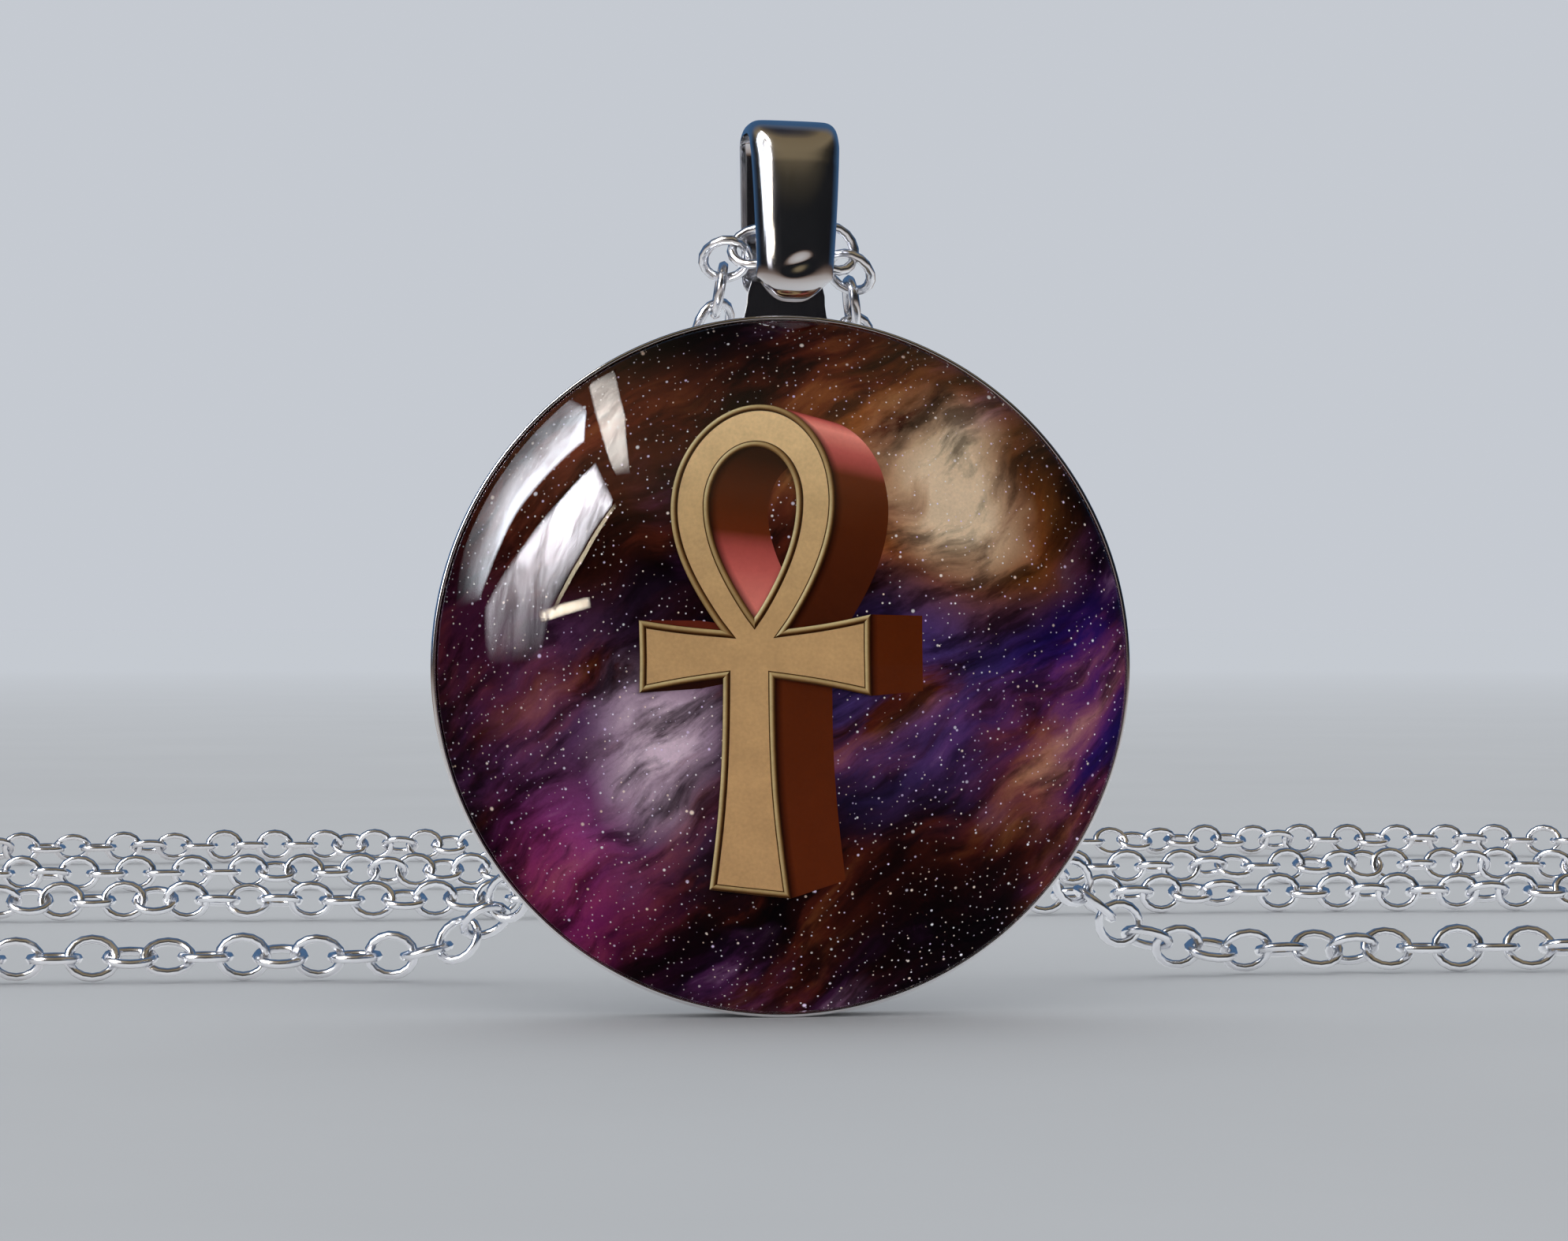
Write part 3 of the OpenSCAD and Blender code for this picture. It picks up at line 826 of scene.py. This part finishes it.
def build_neck():
    """The short post between the tray's edge and the bail, a little waisted and narrower at its back."""
    corners = []
    for z, half_w in NECK_LEVELS:
        for k in range(NECK_SIDES):
            a = 2 * math.pi * k / NECK_SIDES
            c, s = math.cos(a), math.sin(a)
            back = math.copysign(abs(s) ** NECK_CORNER, s)
            side = math.copysign(abs(c) ** NECK_CORNER, c)
            x = NECK_X + half_w * side * (1 - NECK_TAPER * (back + 1))
            corners.append(on_bail(x, NECK_Y + NECK_HALF_DEPTH * back, z))
    ends = [tuple(range(NECK_SIDES)), tuple(range(len(corners) - NECK_SIDES, len(corners)))]
    faces = bands(len(NECK_LEVELS), NECK_SIDES) + ends
    return new_piece("neck", corners, faces)


def made_plain(name, source):
    """A plain mesh object from one with modifiers, which is removed."""
    bpy.context.view_layer.update()
    mesh = bpy.data.meshes.new_from_object(source.evaluated_get(bpy.context.evaluated_depsgraph_get()))
    piece = new_object(name, mesh)
    bpy.data.objects.remove(source)
    return piece


def joined(name, first, others):
    """One soldered solid from several closed ones."""
    for other in others:
        step = first.modifiers.new("solder", "BOOLEAN")
        step.operation, step.solver, step.object = "UNION", "EXACT", other
    piece = made_plain(name, first)
    for old in others:
        bpy.data.objects.remove(old)
    piece.data.shade_smooth()
    piece.data.set_sharp_from_angle(angle=SHARP_ANGLE)
    return piece


# The glass

GLASS_R, GLASS_BACK, GLASS_EDGE, GLASS_FRONT, DOME_R = 12.65, 1.11, 2.29, 7.29, 18.5
GLASS_REACHES, DOME_STEPS = [0, 0.05, 0.1], 48


def build_glass():
    """The clear dome, flat at its back where it sits on the print."""
    reach = math.asin(GLASS_R / DOME_R)
    middle = GLASS_FRONT - DOME_R
    angles = [reach * (1 - i / DOME_STEPS) for i in range(1, DOME_STEPS + 1)]
    dome = [(DOME_R * math.sin(a), middle + DOME_R * math.cos(a)) for a in angles]
    points = [(0, GLASS_BACK), (GLASS_R, GLASS_BACK), (GLASS_R, GLASS_EDGE)] + dome
    line = eased_corners(points, GLASS_REACHES + [0] * len(dome))
    line[-1] = Vector((0, GLASS_FRONT))
    return turned_round("glass_dome_clear", line)


# The chain

CHAIN_R = 1.0
LINK_L, LINK_W, LINK_WIRE, LINK_PITCH = 2.3, 2.0, 0.38, 1.5
LINK_TURN, LINK_LOOSENESS, LINK_DRIFT = math.radians(90), math.radians(26), math.radians(150)
DRIFT_PACE = 0.045

# The middle line of the chain: the left half from the bail to the clasp, and the right half from the
# bail round the far rows to the clasp's other side. It follows the CAD's, but beside the bail it runs
# a little nearer to it, and it stops a little short of the clasp, so that no link cuts either
LEFT_HALF = [
    (0, -0.8, 28.2), (-1.3, -0.7, 28.35), (-1.95, 0, 27.9), (-2.15, 1.3, 26.4), (-2.7, 3, 23),
    (-4.3, 4.4, 18), (-5.6, 6.6, 13), (-7, 8.8, 8.5), (-8.8, 11, 4.6), (-11.4, 13, 1.8), (-15, 14.4),
    (-22, 15), (-32, 14.6), (-42, 16.2), (-50, 22), (-53, 31.5), (-50, 41),
    (-42, 47), (-30, 48.6), (-15, 47.8), (0, 48.8), (15, 48), (30, 48.8),
    (44, 48.2), (53, 51.6), (56.8, 59.5), (53, 67.4), (44, 70.6), (30, 69.8),
    (15, 70.8), (0, 70), (-15, 70.9), (-28, 70), (-38, 71), (-44.8, 73.6),
    (-47.4, 76.2), (-47.9, 78.3),
]
RIGHT_HALF = [
    (0, -0.8, 28.2), (1.6, -0.8, 28.4), (2.55, -0.1, 27.9), (2.9, 1.3, 26.5), (3.4, 3, 22.5),
    (5.2, 4.8, 17), (7.4, 7, 11.8), (10, 9.2, 7.6), (12.9, 11.2, 4.2), (16, 12.8, 1.8), (20, 13.8),
    (30, 14.2), (42, 13.6), (56, 15.6), (70, 25), (79.4, 39), (82.4, 55),
    (79.4, 71), (70, 85), (56, 94), (41, 96.2), (26, 95.2), (11, 96.4),
    (-4, 95.4), (-18, 96.2), (-31, 95.2), (-41, 93.6), (-46.3, 91.4), (-47.9, 88.42),
]


def smooth_route(points, steps=8):
    """A smooth line through the places, which lie on the floor where no height is given."""
    line = []
    places = [Vector((*p, CHAIN_R)[:3]) for p in points]
    last = len(places) - 1
    for i in range(last):
        before, here, after = places[max(i - 1, 0)], places[i], places[i + 1]
        beyond = places[min(i + 2, last)]
        for k in range(steps):
            t = k / steps
            p = (here + (after - before) * (t / 2)
                 + (before - here * 2.5 + after * 2 - beyond / 2) * t * t
                 + (here * 3 - before - after * 3 + beyond) * (t ** 3 / 2))
            p.z = max(p.z, CHAIN_R)
            line.append(p)
    line.append(places[last])
    return line


def build_link_tree():
    """Links set along a line, each turned a quarter from its neighbour, with a little looseness."""
    tree, given, out = new_group(
        "cable_links",
        [("Route", "NodeSocketGeometry", None), ("Links", "NodeSocketInt", 401),
         ("Link length", FLOAT, 0.0023), ("Link width", FLOAT, 0.002),
         ("Wire", FLOAT, 0.00038), ("Places round link", "NodeSocketInt", 16),
         ("Sides of wire", "NodeSocketInt", 6), ("Turn", FLOAT, 0.0),
         ("Looseness", FLOAT, 0.3), ("Drift", FLOAT, 0.4),
         ("Seed", "NodeSocketInt", 7), ("Metal", "NodeSocketMaterial", None)],
        [("Chain", "NodeSocketGeometry")],
        "GeometryNodeTree",
    )
    asked = given.outputs
    line = put(tree, "GeometryNodeMeshToCurve", {"Mesh": asked["Route"]})
    even = put(tree, "GeometryNodeResampleCurve", {"Curve": line, "Count": asked["Links"]}, mode="COUNT")

    middle = put(tree, "GeometryNodeCurvePrimitiveCircle", {
        "Resolution": asked["Places round link"], "Radius": 1.0}, mode="RADIUS")
    half_sizes = [times(tree, minus(tree, asked[label], asked["Wire"]), 0.5)
                  for label in ("Link length", "Link width")]
    size = put(tree, "ShaderNodeCombineXYZ", {0: half_sizes[0], 1: half_sizes[1], 2: 1.0})
    oval = put(tree, "GeometryNodeTransform", {"Geometry": middle, "Scale": size})
    round_wire = put(tree, "GeometryNodeCurvePrimitiveCircle", {
        "Resolution": asked["Sides of wire"], "Radius": times(tree, asked["Wire"], 0.5)},
        mode="RADIUS")
    link = put(tree, "GeometryNodeCurveToMesh", {"Curve": oval, "Profile Curve": round_wire})

    along = put(tree, "GeometryNodeInputTangent")
    upright = put(tree, "FunctionNodeAxesToRotation", {
        "Primary Axis": along, "Secondary Axis": (0, 0, 1)},
        primary_axis="X", secondary_axis="Z")
    index = put(tree, "GeometryNodeInputIndex").outputs["Index"]
    loose = put(tree, "FunctionNodeRandomValue", {
        2: times(tree, asked["Looseness"], -1.0), 3: asked["Looseness"],
        "ID": index, "Seed": asked["Seed"]}, data_type="FLOAT")
    slow = put(tree, "ShaderNodeTexNoise", {"W": times(tree, index, DRIFT_PACE)},
               noise_dimensions="1D")
    sway = times(tree, minus(tree, slow.outputs["Fac"], 0.5), asked["Drift"])
    odd = math_node(tree, "MODULO", index, 2.0)
    quarter = math_node(tree, "MULTIPLY_ADD", odd, math.pi / 2, asked["Turn"])
    roll = math_node(tree, "ADD", math_node(tree, "ADD", quarter, loose.outputs[1]), sway)
    turn = put(tree, "FunctionNodeAxisAngleToRotation", {"Axis": (1, 0, 0), "Angle": roll})
    turned = put(tree, "FunctionNodeRotateRotation", {"Rotation": upright, "Rotate By": turn},
                 rotation_space="LOCAL")

    links = put(tree, "GeometryNodeInstanceOnPoints", {
        "Points": even, "Instance": link, "Rotation": turned})
    real = put(tree, "GeometryNodeRealizeInstances", {"Geometry": links})
    soft = put(tree, "GeometryNodeSetShadeSmooth", {"Geometry": real})
    dressed = put(tree, "GeometryNodeSetMaterial", {"Geometry": soft, "Material": asked["Metal"]})
    fill(tree, out, {"Chain": dressed})
    return tree


def build_chain(metal):
    """The whole loop of links, from the clasp through the bail and back to the clasp."""
    route = smooth_route(LEFT_HALF)[::-1] + smooth_route(RIGHT_HALF)[1:]
    length = sum((b - a).length for a, b in zip(route, route[1:]))
    count = 2 * round(length / LINK_PITCH / 2) + 1
    mesh = bpy.data.meshes.new("chain_route")
    mesh.from_pydata([tuple(at(*p)) for p in route], [(i, i + 1) for i in range(len(route) - 1)], [])
    guide = new_object("chain_route", mesh)
    tree = build_link_tree()
    links = guide.modifiers.new("links", "NODES")
    links.node_group = tree
    wanted = {"Links": count, "Link length": LINK_L * MM, "Link width": LINK_W * MM,
              "Wire": LINK_WIRE * MM, "Turn": LINK_TURN, "Looseness": LINK_LOOSENESS,
              "Drift": LINK_DRIFT, "Metal": metal}
    for socket in tree.interface.items_tree:
        if socket.in_out == "INPUT" and socket.name in wanted:
            links[socket.identifier] = wanted[socket.name]
    return made_plain("cable_chain", guide)


# Putting the pieces together


def dress(piece, material):
    piece.data.materials.clear()
    piece.data.materials.append(material)


def add_piece(piece, material, slot, *nodes):
    dress(piece, material)
    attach(piece, "root")
    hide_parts(*nodes)


bright_metal = metal_finish("polished_steel", [0.66, 0.66, 0.68, 1.0], 0.055, 0.05, 2.0, 0.02)
chain_metal = metal_finish("chain_steel", [0.86, 0.87, 0.9, 1.0], 0.12, 0.12, 1.5, 0.15)

setting = joined("tray_and_bail", build_tray(), [build_neck(), build_bail()])
add_piece(setting, bright_metal, "setting_metal", "setting")

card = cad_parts["picture_card"]
dress(card, sky_print_finish())

side_ink = ink_finish("printed_sides", side_paint, 0.1, 0.16)
gold_ink = ink_finish("printed_gold", gold_paint, 0.11, 0.3)
add_piece(build_ankh_sides(), side_ink, "dark_ink", "ankh_sides")
add_piece(build_ankh_face(), gold_ink, "gold_ink", "ankh_face")
add_piece(build_glass(), glass_finish(), "clear_glass", "glass_dome")
add_piece(build_chain(chain_metal), chain_metal, "chain_metal", "chain_left", "chain_right")

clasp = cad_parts["clasp"]
dress(clasp, chain_metal)
clasp.data.shade_smooth()


# Floor, light and camera

FLOOR_HALF = 6.0
PANE_X, PANE_ACROSS, PANE_BETWEEN, SIDE_FADE, END_FADE = -660, 12, 6, 14, 0.7
BRANCH_TURN, BRANCH_STRETCH = math.radians(24), (1.0, 3.0, 0.8)
CAMERA_YAW, CAMERA_AWAY, CAMERA_HEIGHT, CAMERA_LENS = math.radians(6), 148.8, 14.53, 93.4
# Each pane in rows from its top down: two ends, and the glow at each; then its tint and its streaks
PANES = [
    ("left_pane", [
        ((-68, 965), (-216, 1018), (4, 22)), ((-72, 850), (-337, 855), (4, 44)),
        ((-78, 546), (-229, 432), (3, 44)), ((-80, 287), (-205, 240), (2, 22)),
        ((-104, 128), (-189, 162), (0, 5))], (0.86, 0.92, 1.0, 1.0), 0.4),
    ("middle_pane", [
        ((-463, 817), (-688, 726), (50, 44)), ((-380, 560), (-620, 545), (56, 18)),
        ((-301, 349), (-567, 384), (32, 9)), ((-210, 150), (-482, 186), (9, 4)),
        ((-235, 8), (-450, 24), (0, 0))], (0.95, 0.93, 1.0, 1.0), 0.65),
    ("upper_pane", [
        ((-24, 1169), (-92, 1440), (5, 4)), ((-290, 1026), (-460, 1243), (22, 15)),
        ((-613, 846), (-729, 954), (20, 12))], (1.0, 0.95, 0.88, 1.0), 0.4),
    ("low_pane", [
        ((-417, 166), (-672, 270), (44, 18)), ((-436, 132), (-690, 226), (34, 14))],
     (1.0, 0.88, 0.7, 1.0), 0.3),
    ("pane_edge", [
        ((-690, 728), (-712, 722), (12, 12)), ((-570, 384), (-592, 380), (12, 12)),
        ((-484, 186), (-500, 182), (8, 8))], (1.0, 0.85, 0.6, 1.0), 0.0),
]


def mirror_share(tree, way):
    """1 for what metal or the face of the glass mirrors, 0 for light that lands on print or floor."""
    inward = minus(tree, 1.0, way.outputs["Is Transmission Ray"])
    return times(tree, way.outputs["Is Glossy Ray"], inward)


def build_floor():
    """A large pale floor with painted reflections: in metal it shows painted tones, pale near the pendant
    and brown further off, and in the face of the clear glass a painted dark grey, so that the print stays
    dark under it.
    """
    corners = [(x * FLOOR_HALF, y * FLOOR_HALF, 0) for x, y in ((-1, -1), (1, -1), (1, 1), (-1, 1))]
    piece = new_piece("floor", corners, [(0, 1, 2, 3)], rounded=False)
    material, tree, surface = new_material("pale_floor")
    places = put(tree, "ShaderNodeTexCoord").outputs["Object"]
    cloud = noise_value(tree, places, 30.0, 4.0)
    way = put(tree, "ShaderNodeLightPath")
    away = put(tree, "ShaderNodeVectorMath", {0: places}, operation="LENGTH").outputs["Value"]
    far = ramp(tree, away, [(0.15, 0.0), (1.0, 1.0)])
    tone = mixed(tree, far, mixed(tree, cloud, colour("ACACAD"), colour("B4B4B5")), colour("C1C2C5"))
    mirrored = mirror_share(tree, way)
    # Painted reflection: what metal mirrors of the floor is painted pale near the pendant and brown further
    # off
    painted_metal_reflection = ramp(tree, away, [
        (0.04, "E9E7E6"), (0.12, "C9BFB8"), (0.35, "806C60"), (1.0, "4C3C34")])
    # Painted reflection: what the face of the clear glass mirrors of the floor is painted dark grey
    painted_glass_reflection_share = times(tree, mirrored, way.outputs["Is Singular Ray"])
    shown = mixed(tree, painted_glass_reflection_share, mixed(tree, mirrored, tone, painted_metal_reflection), colour("28282C"))
    fill(tree, surface, {"Base Color": shown, "Roughness": 0.7, "Specular IOR Level": 0.0})
    dress(piece, material)


def pane_mesh(name, rows):
    """A flat pane far to the left, whose glow fades at its borders."""
    places, faces, values, lines = [], [], [], []
    for upper, lower in zip(rows, rows[1:]):
        for j in range(PANE_BETWEEN):
            lines.append([Vector(a).lerp(Vector(b), j / PANE_BETWEEN) for a, b in zip(upper, lower)])
    lines.append([Vector(a) for a in rows[-1]])
    for j, (start, end, glow) in enumerate(lines):
        for i in range(PANE_ACROSS + 1):
            u = i / PANE_ACROSS
            place = start.lerp(end, u)
            places.append(at(PANE_X, place.x, place.y))
            border = min(1.0, SIDE_FADE * min(u, 1 - u), END_FADE * min(j, len(lines) - 1 - j))
            values.append(border * (glow.x + (glow.y - glow.x) * u * u))
    for j in range(len(lines) - 1):
        for i in range(PANE_ACROSS):
            k = j * (PANE_ACROSS + 1) + i
            faces.append((k, k + 1, k + PANE_ACROSS + 2, k + PANE_ACROSS + 1))
    pane = new_piece(name, places, faces, rounded=False)
    pane.data.attributes.new("glow", "FLOAT", "POINT").data.foreach_set("value", values)
    return pane


def window_pane(name, rows, tint, streaks):
    """A bright pane with soft dark streaks, which only metal and the face of the glass mirror."""
    pane = pane_mesh(name, rows)
    material, tree, _ = new_material(name)
    tree.nodes.clear()
    places = put(tree, "ShaderNodeTexCoord").outputs["Object"]
    drawn_out = mapped(tree, places, {"Rotation": (BRANCH_TURN, 0, 0), "Scale": BRANCH_STRETCH})
    leaves = noise_value(tree, drawn_out, 5.0, 6.0, 0.65, distortion=0.6)
    branches = ramp(tree, leaves, [(0.4, 0.0), (0.62, 1.0)])
    dimmed = minus(tree, 1.0, times(tree, branches, streaks))
    lamp = put(tree, "ShaderNodeEmission", {
        "Color": tint, "Strength": times(tree, painted_value(tree, "glow"), dimmed)})
    put(tree, "ShaderNodeOutputMaterial", {"Surface": lamp})
    dress(pane, material)
    pane.visible_camera = pane.visible_diffuse = pane.visible_transmission = False


def set_world():
    """Pale behind the pendant, even soft light on the floor and the print, and a dim room for the metal."""
    world = bpy.data.worlds.new("room")
    bpy.context.scene.world = world
    world.use_nodes = True
    tree = world.node_tree
    tree.nodes.clear()
    way = put(tree, "ShaderNodeLightPath")
    seen = put(tree, "ShaderNodeBackground", {"Color": (0.56, 0.59, 0.64, 1.0)})
    lighting = put(tree, "ShaderNodeBackground", {"Color": (0.92, 0.96, 1.0, 1.0), "Strength": 1.14})
    aim = put(tree, "ShaderNodeTexCoord")
    axes = put(tree, "ShaderNodeSeparateXYZ", {"Vector": aim.outputs["Generated"]})
    ceiling = ramp(tree, axes.outputs["Z"], [
        (0.0, (0.006, 0.006, 0.008, 1)), (0.38, (0.006, 0.006, 0.007, 1)), (0.52, (0.05, 0.04, 0.024, 1)),
        (0.68, (0.26, 0.2, 0.115, 1)), (0.9, (0.24, 0.18, 0.1, 1)), (1.0, (0.03, 0.03, 0.04, 1))])
    behind = ramp(tree, axes.outputs["Y"], [(0.05, 0.0), (0.5, 1.0)])
    mirrored_room = put(tree, "ShaderNodeBackground", {
        "Color": mixed(tree, behind, ceiling, (0.055, 0.13, 0.26, 1))})
    lit = put(tree, "ShaderNodeMixShader", {0: mirror_share(tree, way), 1: lighting, 2: mirrored_room})
    shown = put(tree, "ShaderNodeMixShader", {0: way.outputs["Is Camera Ray"], 1: lit, 2: seen})
    put(tree, "ShaderNodeOutputWorld", {"Surface": shown})


def set_camera():
    """Level with the pendant's middle and a little to the left of its front."""
    eye = at(-CAMERA_AWAY * math.sin(CAMERA_YAW), -TRAY_DEPTH - CAMERA_AWAY * math.cos(CAMERA_YAW),
             CAMERA_HEIGHT)
    data = bpy.data.cameras.new("camera")
    data.sensor_width = 36
    data.lens = CAMERA_LENS
    data.clip_start, data.clip_end = 0.01, 100
    camera = new_object("camera", data)
    camera.location = eye
    camera.rotation_euler = (math.pi / 2, 0, -CAMERA_YAW)
    bpy.context.scene.camera = camera
    bpy.context.scene.view_settings.view_transform = "Standard"


build_floor()
for name, rows, tint, streaks in PANES:
    window_pane(name, rows, tint, streaks)
set_world()
set_camera()
